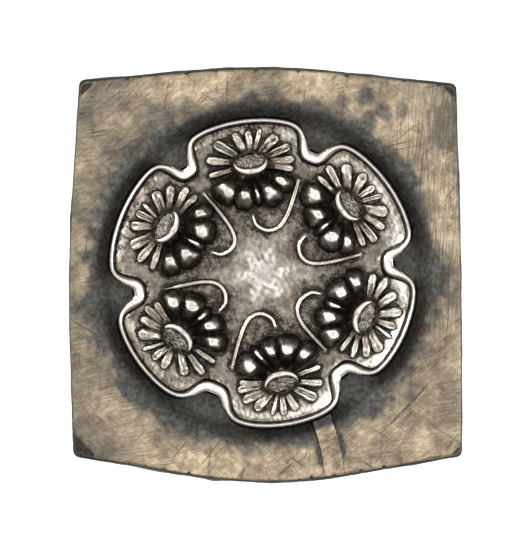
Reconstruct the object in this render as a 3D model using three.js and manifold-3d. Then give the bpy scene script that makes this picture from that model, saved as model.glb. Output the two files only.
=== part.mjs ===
// A steel stamping tool: a bow-sided die block that carries a six-lobed relief of six daisies.
// The relief is an insert. Its plate is let into a pocket in the block's hollow, and a screw from the base
// draws it down. The rim, the flowers and the stems are applied pieces that stand on the plate's ground.
// Millimetres. Z is up and the base rests on Z = 0. X is across the face and +Y runs towards its back edge.
import * as THREE from "three";
import { mergeVertices } from "three/addons/utils/BufferGeometryUtils.js";
import Module from "manifold-3d";

const wasm = await Module();
wasm.setup();

// ---------------------------------------------------------------- driving dimensions
// Die block
const BLOCK_WIDTH = 51;
const BLOCK_DEPTH = 54;
const BLOCK_HEIGHT = 35;
const BOW = { left: 0.9, right: 0.3, back: 1.9, front: 3.4 }; // how far each side swells past its corners
const BACK_PINCH = 0.4; // the back corners stand in, and the front ones out, by this much
const BACK_LEAN = 0.25; // the back side's left end stands back, and its right end forward, by this much
const CORNER_ROUND = 1.3;
// How far in along the face each corner has been knocked off, and how steeply the flat it left slopes down.
const CORNER_LOSS = { front_left: 2.9, front_right: 1.5, back_right: 1.7, back_left: 1.8 };
const CORNER_SLOPE = 40;
const BASE_EDGE = 1.0; // chamfer round the base
const BASE_INSET = 0.6; // the base stands in from the widest level by this much
const FACE_INSET = 0.15;
const FACE_EDGE = 0.35; // width of the bevel round the face
const FACE_EDGE_DROP = 1.1; // height of that bevel
const WIDEST_BELOW_FACE = 8;
// Hollow and pocket in the face
const HOLLOW_MARGIN = 2.7; // the hollow reaches this far out past the lobes
const HOLLOW_DEPTH = 1.2;
const POCKET_DEPTH = 1.0;
const FIT_GAP = 0.2; // clearance between pieces that fit in or beside each other
// A strip of metal left standing across the hollow: it leaves the relief at an angle round it and bends a little
// on its way to the front edge.
const STRIP = { half_width: 1.5, rise: 0.25, leaves_at: 292, bend: 0.35, end_x: 9.0, short_of_edge: 1.35 };
// Relief plate
const RELIEF_X = -0.3;
const RELIEF_Y = 0.25;
const LOBE_RADIUS = 19.6; // to the crest of the rim
const NOTCH_DEPTH = 3.5;
// Where each notch of the six-lobed outline lies, and its half width, in degrees. The spacing is hand cut.
const NOTCHES = [
  { at: 4.5, half: 5.5 },
  { at: 67.3, half: 6 },
  { at: 126.8, half: 5 },
  { at: 188.6, half: 5.5 },
  { at: 247.1, half: 7.8 },
  { at: 308.4, half: 6.5 },
];
const GROUND_RISE = 1.0; // the plate's ground stands this far above the block's face
const SPIGOT_RADIUS = 8;
const SPIGOT_DEPTH = 8;
const DOME_RADIUS = 4.4;
const DOME_RISE = 0.6;
// Rim
const RIM_HALF_WIDTH = 0.32;
const RIM_FOLD_HALF_WIDTH = 0.62; // at the bottom of a notch
const RIM_RISE = 1.2;
const RIM_FOOT = 0.6; // the hollow curve at its inner foot reaches this far in over the ground
// Each flower was placed by eye: degrees round the relief, how far its centre lies in from the crest of the rim,
// degrees that the flower itself is turned, and degrees that its outer petals lean besides. Its stem's hook stands
// farther out by the last value.
const FLOWERS = [
  { at: 96.6, inset: 5.5, turn: 0, lean: -7, hook: 0.1 },
  { at: 38.4, inset: 5.7, turn: -5, lean: 0, hook: -0.1 },
  { at: 336.6, inset: 5.5, turn: 1, lean: 1, hook: 0.5 },
  { at: 279.3, inset: 5.5, turn: 5, lean: -14, hook: -0.2 },
  { at: 217.3, inset: 5.9, turn: 9, lean: -11, hook: 0.1 },
  { at: 154.4, inset: 5.9, turn: -6, lean: 3, hook: -0.3 },
];
const COLLAR = { along: 1.5, across: 2.25, wall: 0.42, low: 0.95, high: 1.75 };
const SEED_DROP = 0.35; // the seed disc lies this far below its collar
// A set of petals fans out to both sides of its middle. Each petal's tip lies on an ellipse about the flower's
// centre: at one reach in the middle direction, and at another at the flower's sides.
const OUTER_PETALS = { reach: 4.15, side_reach: 5.65, rise: 0.7 };
// The outer petals are cut unevenly: each has a direction, in degrees from straight outwards, and a half width
const OUTER_FAN = [
  [101, 0.4],
  [82, 0.46],
  [60, 0.55],
  [28, 0.52],
  [3, 0.46],
  [-15, 0.32],
  [-43, 0.55],
  [-67, 0.5],
  [-86, 0.44],
  [-101, 0.4],
];
const INNER_PETALS = { count: 5, sweep: 52, reach: 5.7, side_reach: 5.25, rise: 1.7, half_width: 0.92 };
const PETAL_EDGE = 0.15; // height of a petal's edge above the ground
const WEB = { width: 0.5, rise: 0.3 }; // the strip that joins the petals' roots
// Places along a stem: degrees round the relief from its flower, and how far in from the crest of the rim
const STEM_ROUTE = [
  [-27.6, 7.0],
  [-28.8, 9.9],
  [-28.8, 12.1],
  [-24.5, 13.6],
  [-12, 14.2],
  [1, 13.5],
  [3.5, 12.3],
];
const HOOK_FROM = 2; // the route's place where a stem's hook begins
const STEM_HALF_WIDTH = 0.35;
const STEM_RISE = 0.6;
// Screw that holds the plate down
const SCREW = { shank: 3, head: 5.5, head_height: 4, slot_width: 1.4, slot_depth: 1.4, engaged: 6, sunk: 1 };
const HOLE_GAP = 0.35;

// ---------------------------------------------------------------- derived levels
const FLOOR_LEVEL = BLOCK_HEIGHT - HOLLOW_DEPTH;
const POCKET_LEVEL = FLOOR_LEVEL - POCKET_DEPTH;
const GROUND_LEVEL = BLOCK_HEIGHT + GROUND_RISE;
const SPIGOT_LEVEL = POCKET_LEVEL - SPIGOT_DEPTH;
const COUNTERBORE_DEPTH = SCREW.head_height + SCREW.sunk;
const HOLLOW_RADIUS = LOBE_RADIUS + HOLLOW_MARGIN;
const TAU = 2 * Math.PI;
const RAD = Math.PI / 180;

// ---------------------------------------------------------------- solids from sections, and booleans
// A closed body through sections that have the same number of points. A loop joins its last section to its first.
function loft(sections, loop = false) {
  const size = sections[0].length;
  const points = sections.flat();
  const faces = [];
  const last = loop ? sections.length : sections.length - 1;
  for (let i = 0; i < last; i++) {
    const here = i * size;
    const there = ((i + 1) % sections.length) * size;
    for (let j = 0; j < size; j++) {
      const next = (j + 1) % size;
      faces.push(here + j, here + next, there + next);
      faces.push(here + j, there + next, there + j);
    }
  }
  if (!loop) {
    const end = (sections.length - 1) * size;
    for (let j = 1; j < size - 1; j++) {
      faces.push(0, j + 1, j);
      faces.push(end, end + j, end + j + 1);
    }
  }
  const geometry = new THREE.BufferGeometry().setFromPoints(points);
  geometry.setIndex(faces);
  return facingOut(geometry);
}

// Turns every face round if the geometry encloses a negative volume.
function facingOut(geometry) {
  const place = geometry.getAttribute("position");
  const index = geometry.index.array;
  const corner = [0, 1, 2].map(() => new THREE.Vector3());
  let volume = 0;
  for (let i = 0; i < index.length; i += 3) {
    corner.forEach((c, k) => c.fromBufferAttribute(place, index[i + k]));
    volume += corner[0].dot(corner[1].clone().cross(corner[2]));
  }
  if (volume < 0) {
    for (let i = 0; i < index.length; i += 3) {
      [index[i + 1], index[i + 2]] = [index[i + 2], index[i + 1]];
    }
  }
  return geometry;
}

function toSolid(geometry) {
  const bare = geometry.clone();
  bare.deleteAttribute("normal");
  bare.deleteAttribute("uv");
  const merged = mergeVertices(bare, 1e-4);
  const vertProperties = new Float32Array(merged.getAttribute("position").array);
  const triVerts = new Uint32Array(merged.index.array);
  return new wasm.Manifold(new wasm.Mesh({ numProp: 3, vertProperties, triVerts }));
}

function toGeometry(solid) {
  const { vertProperties, triVerts } = solid.getMesh();
  const geometry = new THREE.BufferGeometry();
  geometry.setAttribute("position", new THREE.BufferAttribute(vertProperties, 3));
  geometry.setIndex(new THREE.BufferAttribute(triVerts, 1));
  return geometry;
}

function join(geometries) {
  return toGeometry(geometries.map(toSolid).reduce((whole, piece) => whole.add(piece)));
}

function cut(geometry, tools) {
  return toGeometry(tools.map(toSolid).reduce((whole, tool) => whole.subtract(tool), toSolid(geometry)));
}

// An upright cylinder between two levels.
function post(radius, low, high, sides = 32) {
  const geometry = new THREE.CylinderGeometry(radius, radius, high - low, sides);
  return geometry.rotateX(Math.PI / 2).translate(0, 0, (low + high) / 2);
}

// An upright prism of a plan outline between two levels.
function prism(outline, low, high) {
  const geometry = new THREE.ExtrudeGeometry(new THREE.Shape(outline), {
    depth: high - low,
    bevelEnabled: false,
    curveSegments: 1,
  });
  return geometry.translate(0, 0, low);
}

// A plan outline moved outwards by a distance, which may differ from point to point.
function grow(outline, distance) {
  return outline.map((point, i) => {
    const before = outline[(i - 1 + outline.length) % outline.length];
    const after = outline[(i + 1) % outline.length];
    const along = after.clone().sub(before).normalize();
    const step = typeof distance === "function" ? distance(point, i) : distance;
    return new THREE.Vector2(point.x + along.y * step, point.y - along.x * step);
  });
}

// ---------------------------------------------------------------- die block
const SIDE_STEPS = 12;
const CORNER_STEPS = 3;

// The corners in plan before they are rounded, anticlockwise from the front left. Each side bows after its corner.
function blockCorners() {
  const left = -BLOCK_WIDTH / 2 + BOW.left;
  const right = BLOCK_WIDTH / 2 - BOW.right;
  const front = -BLOCK_DEPTH / 2 + BOW.front;
  const back = BLOCK_DEPTH / 2 - BOW.back;
  return [
    { at: new THREE.Vector2(left - BACK_PINCH, front), bow: BOW.front, loss: CORNER_LOSS.front_left },
    { at: new THREE.Vector2(right + BACK_PINCH, front), bow: BOW.right, loss: CORNER_LOSS.front_right },
    { at: new THREE.Vector2(right - BACK_PINCH, back - BACK_LEAN), bow: BOW.back, loss: CORNER_LOSS.back_right },
    { at: new THREE.Vector2(left + BACK_PINCH, back + BACK_LEAN), bow: BOW.left, loss: CORNER_LOSS.back_left },
  ];
}

// One side of the outline, from just after its first corner to just before its second.
function bowedSide(from, to, bow) {
  const along = to.clone().sub(from).normalize();
  const out = new THREE.Vector2(along.y, -along.x);
  const start = CORNER_ROUND / to.distanceTo(from);
  return Array.from({ length: SIDE_STEPS + 1 }, (_, i) => {
    const t = start + (1 - 2 * start) * (i / SIDE_STEPS);
    const swell = 2 * t * (1 - t) + Math.sin(Math.PI * t) ** 2 / 2; // 1 half-way, and 0 at both ends
    return from.clone().lerp(to, t).addScaledVector(out, bow * swell);
  });
}

// The plan outline at the widest level, centred on the origin and brought to the block's exact width and depth.
function blockOutline() {
  const corners = blockCorners();
  const sides = corners.map(({ at, bow }, i) => bowedSide(at, corners[(i + 1) % 4].at, bow));
  const outline = sides.flatMap((side, i) => {
    const next = (i + 1) % 4;
    const bend = new THREE.QuadraticBezierCurve(side[SIDE_STEPS], corners[next].at, sides[next][0]);
    return [...side, ...bend.getPoints(CORNER_STEPS).slice(1, -1)];
  });
  const box = new THREE.Box2().setFromPoints(outline);
  const size = box.getSize(new THREE.Vector2());
  const fit = new THREE.Vector2(BLOCK_WIDTH / size.x, BLOCK_DEPTH / size.y);
  const middle = box.getCenter(new THREE.Vector2());
  return outline.map((point) => point.clone().sub(middle).multiply(fit));
}

// The body between the base and the face, widest near the top, as its sides bulge.
function blockBody() {
  const outline = blockOutline();
  const levels = [
    [0, BASE_INSET + BASE_EDGE],
    [BASE_EDGE, BASE_INSET],
    [(BASE_EDGE + BLOCK_HEIGHT - WIDEST_BELOW_FACE) / 2, BASE_INSET / 4],
    [BLOCK_HEIGHT - WIDEST_BELOW_FACE, 0],
    [BLOCK_HEIGHT - FACE_EDGE_DROP, FACE_INSET],
    [BLOCK_HEIGHT, FACE_INSET + FACE_EDGE],
  ];
  const rings = levels.map(([z, inset]) => {
    const x = 1 - (2 * inset) / BLOCK_WIDTH;
    const y = 1 - (2 * inset) / BLOCK_DEPTH;
    return outline.map((point) => new THREE.Vector3(point.x * x, point.y * y, z));
  });
  return loft(rings);
}

// The metal lost at one corner: everything above a slope that starts on the face and falls towards the corner.
function lostCorner({ at, loss }) {
  const size = 20;
  const start = at.length() - loss;
  const box = new THREE.BoxGeometry(size, size, size).translate(0, 0, size / 2);
  box.rotateY(CORNER_SLOPE * RAD).translate(start, 0, BLOCK_HEIGHT);
  return box.rotateZ(at.angle());
}

// The shallow hollow that was cut round the relief.
function faceHollow() {
  const profile = [
    [0, FLOOR_LEVEL],
    [LOBE_RADIUS + RIM_HALF_WIDTH, FLOOR_LEVEL],
    [(LOBE_RADIUS + HOLLOW_RADIUS) / 2, BLOCK_HEIGHT - HOLLOW_DEPTH / 2],
    [HOLLOW_RADIUS, BLOCK_HEIGHT],
    [HOLLOW_RADIUS, BLOCK_HEIGHT + 1],
    [0, BLOCK_HEIGHT + 1],
  ];
  const points = profile.map(([radius, z]) => new THREE.Vector2(radius, z));
  return new THREE.LatheGeometry(points, 48).rotateX(Math.PI / 2).translate(RELIEF_X, RELIEF_Y, 0);
}

function standingStrip() {
  const steps = 8;
  const leaves = STRIP.leaves_at * RAD;
  const start = new THREE.Vector3(RELIEF_X, RELIEF_Y, 0);
  start.add(new THREE.Vector3(LOBE_RADIUS * Math.cos(leaves), LOBE_RADIUS * Math.sin(leaves), 0));
  const end = new THREE.Vector3(STRIP.end_x, -BLOCK_DEPTH / 2 + STRIP.short_of_edge, 0);
  const middle = start.clone().lerp(end, 0.5);
  middle.x += STRIP.bend;
  const route = new THREE.CatmullRomCurve3([start, middle, end]);
  const low = BLOCK_HEIGHT - 2 * HOLLOW_DEPTH;
  const sections = Array.from({ length: steps + 1 }, (_, i) => {
    const place = route.getPointAt(i / steps);
    const along = route.getTangentAt(i / steps);
    const profile = [
      [-1, low],
      [-1, BLOCK_HEIGHT - STRIP.rise],
      [-0.6, BLOCK_HEIGHT + STRIP.rise],
      [0.6, BLOCK_HEIGHT + STRIP.rise],
      [1, BLOCK_HEIGHT - STRIP.rise],
      [1, low],
    ];
    return profile.map(([share, z]) => {
      const across = share * STRIP.half_width;
      return new THREE.Vector3(place.x - along.y * across, place.y + along.x * across, z);
    });
  });
  return loft(sections);
}

function dieBlock() {
  const hollowed = cut(blockBody(), [faceHollow(), ...blockCorners().map(lostCorner)]);
  const pocket = prism(grow(plateOutline(), FIT_GAP), POCKET_LEVEL, BLOCK_HEIGHT + 1);
  const bore = post(SPIGOT_RADIUS + FIT_GAP, SPIGOT_LEVEL - FIT_GAP, BLOCK_HEIGHT);
  const hole = post(SCREW.shank + HOLE_GAP, -1, BLOCK_HEIGHT, 20);
  const counterbore = post(SCREW.head + HOLE_GAP, -1, COUNTERBORE_DEPTH, 32);
  const tools = [pocket, bore, hole, counterbore].map((tool) => tool.translate(RELIEF_X, RELIEF_Y, 0));
  return cut(join([hollowed, standingStrip()]), tools);
}

// ---------------------------------------------------------------- relief plate and rim
const OUTLINE_STEPS = 120;

// How deep in a notch an angle lies: 1 at the bottom of a notch, 0 far from one.
function notchShare(degrees) {
  return NOTCHES.reduce((most, { at, half }) => {
    const away = Math.abs(((degrees - at + 540) % 360) - 180) / half;
    return Math.max(most, 1 / (1 + away ** 4));
  }, 0);
}

// The crest of the rim: six wide lobes parted by rounded notches.
function crestOutline() {
  return Array.from({ length: OUTLINE_STEPS }, (_, i) => {
    const angle = (360 * i) / OUTLINE_STEPS;
    const radius = LOBE_RADIUS - NOTCH_DEPTH * notchShare(angle);
    return new THREE.Vector2(radius * Math.cos(angle * RAD), radius * Math.sin(angle * RAD));
  });
}

function rimHalfWidth(i) {
  const share = notchShare((360 * i) / OUTLINE_STEPS);
  return RIM_HALF_WIDTH + (RIM_FOLD_HALF_WIDTH - RIM_HALF_WIDTH) * share;
}

function plateOutline() {
  return grow(crestOutline(), (_, i) => rimHalfWidth(i));
}

function reliefPlate() {
  const plate = prism(plateOutline(), POCKET_LEVEL, GROUND_LEVEL);
  const spigot = post(SPIGOT_RADIUS, SPIGOT_LEVEL, POCKET_LEVEL + 0.5);
  const dome = new THREE.LatheGeometry(
    [
      new THREE.Vector2(0, -0.5),
      new THREE.Vector2(DOME_RADIUS, -0.5),
      new THREE.Vector2(DOME_RADIUS, 0),
      new THREE.Vector2(DOME_RADIUS * 0.8, DOME_RISE * 0.55),
      new THREE.Vector2(DOME_RADIUS * 0.45, DOME_RISE * 0.9),
      new THREE.Vector2(0, DOME_RISE),
    ],
    24,
  )
    .rotateX(Math.PI / 2)
    .translate(0, 0, GROUND_LEVEL);
  const tapping = post(SCREW.shank + FIT_GAP, SPIGOT_LEVEL - 1, SPIGOT_LEVEL + SCREW.engaged + FIT_GAP, 20);
  return cut(join([plate, spigot, dome]), [tapping]);
}

// The rim's section: a hollow curve up from the ground on the inside, a rounded crest and a steep outer side.
function rimProfile(half) {
  return [
    [-half - RIM_FOOT, 0],
    [-half - RIM_FOOT * 0.4, RIM_RISE * 0.2],
    [-half, RIM_RISE * 0.65],
    [-half * 0.4, RIM_RISE],
    [half * 0.4, RIM_RISE],
    [half, RIM_RISE * 0.65],
    [half, 0],
  ];
}

function rimBead() {
  const crest = crestOutline();
  const tracks = rimProfile(0).map((_, k) => ({
    line: grow(crest, (_point, i) => rimProfile(rimHalfWidth(i))[k][0]),
    level: GROUND_LEVEL + rimProfile(0)[k][1],
  }));
  const sections = crest.map((_, i) =>
    tracks.map(({ line, level }) => new THREE.Vector3(line[i].x, line[i].y, level)),
  );
  return loft(sections, true);
}

// ---------------------------------------------------------------- flowers
// A flower is built about its own centre, with +X outwards from the relief's centre and the ground at Z = 0.

// A point on the ellipse that stands a distance outside the collar.
function collarPoint(angle, outside) {
  return new THREE.Vector2(
    (COLLAR.along + outside) * Math.cos(angle),
    (COLLAR.across + outside) * Math.sin(angle),
  );
}

// The collar's top: low on the outward side and high on the inward side, as the flower faces outwards.
function collarTop(angle) {
  return COLLAR.low + ((COLLAR.high - COLLAR.low) * (1 - Math.cos(angle))) / 2;
}

function collarRing() {
  const steps = 24;
  const sections = Array.from({ length: steps }, (_, i) => {
    const angle = (TAU * i) / steps;
    const top = collarTop(angle);
    const profile = [
      [-COLLAR.wall, 0],
      [-COLLAR.wall, top * 0.8],
      [-COLLAR.wall / 2, top],
      [0, top * 0.8],
      [0, 0],
    ];
    return profile.map(([outside, z]) => {
      const p = collarPoint(angle, outside);
      return new THREE.Vector3(p.x, p.y, z);
    });
  });
  return loft(sections, true);
}

// The disc inside the collar slopes with it and has a rounded edge.
function seedDisc() {
  const steps = 20;
  const rings = [
    { shrink: 0, share: 0 },
    { shrink: 0, share: 0.85 },
    { shrink: 0.4, share: 1 },
  ];
  const sections = rings.map(({ shrink, share }) =>
    Array.from({ length: steps }, (_, i) => {
      const angle = (TAU * i) / steps;
      const p = collarPoint(angle, -COLLAR.wall - FIT_GAP - shrink);
      return new THREE.Vector3(p.x, p.y, share * (collarTop(angle) - SEED_DROP));
    }),
  );
  return loft(sections);
}

// Each kind of petal, from root to tip, in shares of its length, half width and rise; and its back in section,
// in shares of the half width and of the rise at that place.
const OUTER_SHAPE = {
  lengths: [
    [0, 0.55, 0.75],
    [0.5, 1, 1],
    [0.85, 0.9, 0.5],
    [1, 0.4, 0.1],
  ],
  back: [
    [-1, 0],
    [0, 1],
    [1, 0],
  ],
};
const INNER_SHAPE = {
  lengths: [
    [0, 0.5, 0.35],
    [0.25, 0.8, 0.85],
    [0.5, 1, 1],
    [0.8, 0.95, 0.7],
    [1, 0.55, 0.1],
  ],
  back: [
    [-1, 0],
    [-0.6, 0.75],
    [0, 1],
    [0.6, 0.75],
    [1, 0],
  ],
};

function petal(shape, angle, tip, half_width, full_rise) {
  const root = collarPoint(angle, FIT_GAP);
  const along = tip.clone().sub(root).normalize();
  const side = new THREE.Vector2(-along.y, along.x);
  const sections = shape.lengths.map(([t, width, height]) => {
    const middle = root.clone().lerp(tip, t);
    const place = (share, z) => {
      const p = middle.clone().addScaledVector(side, share * half_width * width);
      return new THREE.Vector3(p.x, p.y, z);
    };
    const back = shape.back.map(([share, rise]) => place(share, PETAL_EDGE + full_rise * height * rise));
    return [place(-1, 0), ...back, place(1, 0)];
  });
  return loft(sections);
}

// A low strip round part of the collar, which joins the roots of a set of petals.
function rootWeb(from, to) {
  const steps = 12;
  const sections = Array.from({ length: steps + 1 }, (_, i) => {
    const angle = from + ((to - from) * i) / steps;
    const near = collarPoint(angle, FIT_GAP);
    const far = collarPoint(angle, FIT_GAP + WEB.width);
    return [
      new THREE.Vector3(near.x, near.y, 0),
      new THREE.Vector3(near.x, near.y, WEB.rise),
      new THREE.Vector3(far.x, far.y, WEB.rise),
      new THREE.Vector3(far.x, far.y, 0),
    ];
  });
  return loft(sections);
}

// A set of petals round a middle direction, clear of the collar. Angles are those of points on an ellipse.
function petalSet(set, shape, middle, petals) {
  const bodies = petals.map(({ angle, half_width }) => {
    const tip = new THREE.Vector2(
      set.reach * Math.cos(middle + angle),
      set.side_reach * Math.sin(middle + angle),
    );
    return petal(shape, middle + angle, tip, half_width, set.rise);
  });
  const angles = petals.map(({ angle }) => angle);
  return join([rootWeb(middle + Math.min(...angles), middle + Math.max(...angles)), ...bodies]);
}

// The outer petals of a flower. Those that point most nearly outwards lean by the flower's own amount.
function outerPetals(lean) {
  const fan = OUTER_FAN.map(([direction, half_width]) => {
    const seen = (direction + lean * (0.35 + 0.65 * Math.cos(direction * RAD))) * RAD;
    const angle = Math.atan2(Math.sin(seen) / OUTER_PETALS.side_reach, Math.cos(seen) / OUTER_PETALS.reach);
    return { angle, half_width };
  });
  return petalSet(OUTER_PETALS, OUTER_SHAPE, 0, fan);
}

// The inner petals are spaced evenly.
function innerPetals() {
  const { count, sweep, half_width } = INNER_PETALS;
  const fan = Array.from({ length: count }, (_, i) => ({
    angle: sweep * RAD * ((2 * i) / (count - 1) - 1),
    half_width,
  }));
  return petalSet(INNER_PETALS, INNER_SHAPE, Math.PI, fan);
}

// ---------------------------------------------------------------- stems
// A stem leaves the notch beside its flower, runs in towards the centre and hooks back under the flower.
function stem({ at, hook }) {
  const steps = 20;
  const points = STEM_ROUTE.map(([turn, inset], i) => {
    const angle = (at + turn) * RAD;
    const radius = LOBE_RADIUS - inset + (i < HOOK_FROM ? 0 : hook);
    return new THREE.Vector3(radius * Math.cos(angle), radius * Math.sin(angle), 0);
  });
  const route = new THREE.CatmullRomCurve3(points, false, "centripetal");
  const sections = Array.from({ length: steps + 1 }, (_, i) => {
    const middle = route.getPointAt(i / steps);
    const along = route.getTangentAt(i / steps);
    const taper = 1 - 0.4 * (i / steps) ** 6;
    const place = (share, z) => {
      const across = share * STEM_HALF_WIDTH * taper;
      return new THREE.Vector3(middle.x - along.y * across, middle.y + along.x * across, z * taper);
    };
    return [
      place(-1, 0),
      place(-1, STEM_RISE * 0.5),
      place(0, STEM_RISE),
      place(1, STEM_RISE * 0.5),
      place(1, 0),
    ];
  });
  return loft(sections);
}

// ---------------------------------------------------------------- insert screw
function insertScrew() {
  const underHead = COUNTERBORE_DEPTH;
  const tip = SPIGOT_LEVEL + SCREW.engaged;
  const head = post(SCREW.head, underHead - SCREW.head_height, underHead, 32);
  const shank = post(SCREW.shank, underHead - 0.5, tip, 20);
  const slot = new THREE.BoxGeometry(2 * SCREW.head + 2, SCREW.slot_width, 2 * SCREW.slot_depth);
  slot.rotateZ(25 * RAD).translate(0, 0, underHead - SCREW.head_height);
  return cut(join([head, shank]), [slot]);
}

// ---------------------------------------------------------------- assembly
const BLOCK_STEEL = new THREE.MeshStandardMaterial({ color: 0x8f8371, roughness: 0.5, metalness: 1 });
const RELIEF_STEEL = new THREE.MeshStandardMaterial({ color: 0x9a968e, roughness: 0.3, metalness: 1 });
const SEED_STEEL = new THREE.MeshStandardMaterial({ color: 0x5c5852, roughness: 0.6, metalness: 1 });
const SCREW_STEEL = new THREE.MeshStandardMaterial({ color: 0x5a5650, roughness: 0.5, metalness: 1 });

function named(name, geometry, material) {
  const mesh = new THREE.Mesh(geometry, material);
  mesh.name = name;
  return mesh;
}

const tool = new THREE.Group();
tool.add(named("die_block", dieBlock(), BLOCK_STEEL));

const relief = new THREE.Group();
relief.position.set(RELIEF_X, RELIEF_Y, 0);
relief.add(named("relief_plate", reliefPlate(), RELIEF_STEEL));
relief.add(named("rim_bead", rimBead(), RELIEF_STEEL));
relief.add(named("insert_screw", insertScrew(), SCREW_STEEL));
tool.add(relief);

FLOWERS.forEach((place, i) => {
  const angle = place.at * RAD;
  const flower = new THREE.Group();
  const radius = LOBE_RADIUS - place.inset;
  flower.position.set(radius * Math.cos(angle), radius * Math.sin(angle), GROUND_LEVEL);
  flower.rotation.z = (place.at + place.turn) * RAD;
  const label = `flower_${i + 1}`;
  flower.add(named(`${label}_outer_petals`, outerPetals(place.lean), RELIEF_STEEL));
  flower.add(named(`${label}_inner_petals`, innerPetals(), RELIEF_STEEL));
  flower.add(named(`${label}_collar`, collarRing(), RELIEF_STEEL));
  flower.add(named(`${label}_seed_disc`, seedDisc(), SEED_STEEL));
  relief.add(flower);
  const stalk = named(`stem_${i + 1}`, stem(place), RELIEF_STEEL);
  stalk.position.z = GROUND_LEVEL;
  relief.add(stalk);
});

export default tool;
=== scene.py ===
# The looks of a steel stamping tool: a bow-sided die block with a raised medallion of six daisies.
# Shapes are worked out in millimetres, in the CAD's frame, and become metres when a mesh is made.
# A place on the medallion is given from its own centre, and a place on a flower from the flower's centre,
# with u outwards from the medallion's centre and v to the left of that. Heights of the relief are above the
# plate's ground.
import math
import bpy
import numpy as np
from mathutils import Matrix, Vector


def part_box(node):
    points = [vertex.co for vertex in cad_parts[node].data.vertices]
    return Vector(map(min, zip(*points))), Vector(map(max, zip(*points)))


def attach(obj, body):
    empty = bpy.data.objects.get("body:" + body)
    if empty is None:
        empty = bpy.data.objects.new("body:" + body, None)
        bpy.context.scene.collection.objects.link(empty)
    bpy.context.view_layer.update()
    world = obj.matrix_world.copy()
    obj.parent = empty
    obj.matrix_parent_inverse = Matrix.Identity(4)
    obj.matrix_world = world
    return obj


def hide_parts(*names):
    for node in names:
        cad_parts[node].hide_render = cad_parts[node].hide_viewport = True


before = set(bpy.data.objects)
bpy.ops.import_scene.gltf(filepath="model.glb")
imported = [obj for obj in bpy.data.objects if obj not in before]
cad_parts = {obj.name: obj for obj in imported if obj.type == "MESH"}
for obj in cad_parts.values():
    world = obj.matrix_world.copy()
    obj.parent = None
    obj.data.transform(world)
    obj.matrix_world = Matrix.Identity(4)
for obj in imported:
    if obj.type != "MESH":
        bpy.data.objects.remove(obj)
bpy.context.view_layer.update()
MM = 0.001
TAU = 2 * math.pi
BODY = "root"

# -------------------- sizes, in millimetres and degrees
# Block
BLOCK_WIDTH = 51.0
BLOCK_DEPTH = 54.0
BLOCK_HEIGHT = 35.0
BOW = {"front": 3.4, "right": 0.3, "back": 1.9, "left": 0.9}
BACK_PINCH = 0.4
BACK_LEAN = 0.25
CORNER_ROUND = 0.9
CORNER_LOSS = {"front_left": 2.8, "front_right": 1.8, "back_right": 2.1, "back_left": 2.2}
CORNER_SLOPE = 40.0
BASE_EDGE = 1.0
BASE_INSET = 0.6
FACE_INSET = 0.15
FACE_EDGE = 0.35
FACE_EDGE_DROP = 1.1
WIDEST_BELOW_FACE = 8.0
HOLLOW_MARGIN = 2.7
HOLLOW_DEPTH = 1.2
HOLLOW_FADE = 3.6
POCKET_DEPTH = 1.0
FIT_GAP = 0.2
BORE_EDGE = 0.3
# Strip on the face: the degrees round the medallion where it starts, and where it meets the front edge
STRIP_FROM = 292
STRIP_END = 9.0
STRIP_HALF_WIDTH = 1.5
STRIP_RISE = 0.25
# Old stains on the face: place, radius and darkness
STAINS = [(9.9, 22.4, 1.1, 0.8), (12.8, 23.0, 1.5, 0.85), (15.1, 20.6, 1.4, 0.8), (17.6, 21.2, 1.2, 0.7),
          (-14.0, 19.0, 3.6, 0.6), (-17.0, 15.5, 2.0, 0.8), (13.3, 19.5, 1.8, 0.85), (-9.8, 20.6, 2.0, 0.6)]
GOUGE = [(21.3, -13.6), (12.3, -22.4)]
# Soot on the face: distance from the medallion's centre and darkness
SOOT = [(20.3, 1.0), (21.9, 0.97), (22.7, 0.72), (23.6, 0.42), (25.5, 0.34), (29, 0.28)]
# Medallion
LOBE_RADIUS = 19.6
NOTCH_DEPTH = 3.5
# Notches of the rim: degrees round the medallion, and half a width in degrees
NOTCHES = [(4.5, 5.5), (67.3, 6.0), (126.8, 5.0), (188.6, 5.5), (247.1, 7.8), (308.4, 6.5)]
GROUND_RISE = 1.0
SPIGOT_RADIUS = 8.0
SPIGOT_DEPTH = 8.0
TAPPED_RADIUS = 3.2
TAPPED_DEPTH = 6.2
DOME_RADIUS = 4.6
DOME_RISE = 0.6
RIM_HALF_WIDTH = 0.32
RIM_FOLD_HALF_WIDTH = 0.62
RIM_RISE = 1.2
# Flowers: degrees round the medallion, how far in from the rim's crest, own turn, lean of the outer petals,
# shift of the stem's hook, and widths of the inner petals in shares. Each flower has a narrow inner petal.
FLOWERS = [
    {"at": 96.6, "inset": 5.5, "turn": 0, "lean": -7, "hook": 0.1, "inner": (1.2, 1.0, 0.5, 1.0, 0.8)},
    {"at": 38.4, "inset": 5.7, "turn": -5, "lean": 0, "hook": -0.1, "inner": (1.1, 1.1, 0.45, 1.0, 0.7)},
    {"at": 336.6, "inset": 5.5, "turn": 1, "lean": 1, "hook": 0.5, "inner": (0.8, 1.1, 0.5, 0.9, 0.9)},
    {"at": 279.3, "inset": 5.5, "turn": 5, "lean": -14, "hook": -0.2, "inner": (0.8, 1.1, 0.9, 0.5, 1.1)},
    {"at": 217.3, "inset": 5.9, "turn": 9, "lean": -11, "hook": 0.1, "inner": (0.9, 0.9, 0.5, 1.1, 1.0)},
    {"at": 154.4, "inset": 5.9, "turn": -6, "lean": 3, "hook": -0.3, "inner": (0.9, 1.1, 0.5, 1.1, 0.8)},
]
FLOWER_SEED = 100
FLOWER_REACH = 7.5
COLLAR_ALONG = 1.5
COLLAR_ACROSS = 2.25
COLLAR_LOW = 0.95
COLLAR_HIGH = 1.75
DISC_ALONG = 0.93
DISC_ACROSS = 1.98
DISC_SHIFT = 0.42
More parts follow.
